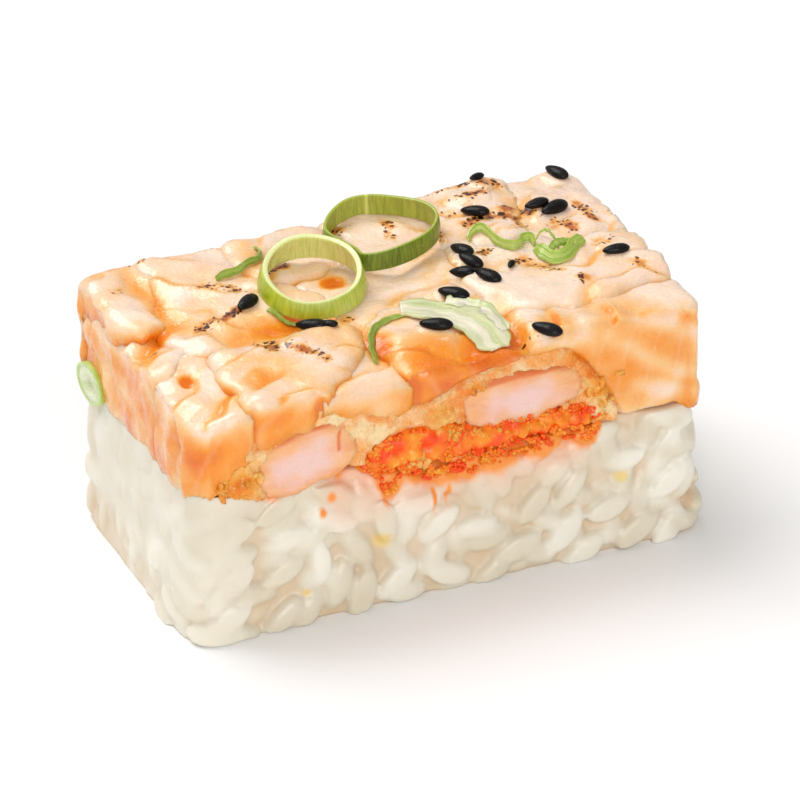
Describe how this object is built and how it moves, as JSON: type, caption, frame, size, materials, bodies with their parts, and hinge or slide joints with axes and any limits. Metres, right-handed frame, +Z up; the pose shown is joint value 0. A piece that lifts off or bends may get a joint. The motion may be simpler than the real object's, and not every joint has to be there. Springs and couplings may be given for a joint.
{
  "type": "pressed sushi piece",
  "caption": "Block of pressed rice with roe and battered prawn, covered with torched salmon slices, sesame seeds and spring onion rings and shreds.",
  "frame": {"origin": "middle of the resting face, under the middle of the bounding box", "axes": "+X along the block, +Z up, -Y the front face that shows the layers"},
  "size_m": [0.0577, 0.0334, 0.0308],
  "materials": {
    "rice": "moist, slightly glossy grains",
    "roe": "wet and granular",
    "prawn": "moist cut face",
    "batter": "oily and craggy",
    "salmon": "seared, with a thin glaze",
    "spring_onion": "fresh cut leaf"
  },
  "bodies": {
    "root": {"rice": "rice", "roe": "roe", "prawn_left": "prawn", "prawn_right": "prawn", "batter": "batter", "salmon_left_flap": "salmon", "salmon_end_back": "salmon", "salmon_front_left": "salmon", "salmon_front_middle": "salmon", "salmon_right": "salmon", "salmon_corner_right": "salmon", "salmon_back_right": "salmon", "salmon_back_centre": "salmon", "salmon_back_left": "salmon", "salmon_top_left": "salmon", "salmon_front_right": "salmon", "salmon_front_corner": "salmon", "salmon_front_low": "salmon", "salmon_middle": "salmon", "onion_ring_front": "spring_onion", "onion_ring_back": "spring_onion", "onion_curl": "spring_onion", "onion_tuft": "spring_onion", "onion_shred": "spring_onion", "onion_leaf": "spring_onion", "onion_strip": "spring_onion", "onion_side": "spring_onion"}
  },
  "joints": []
}
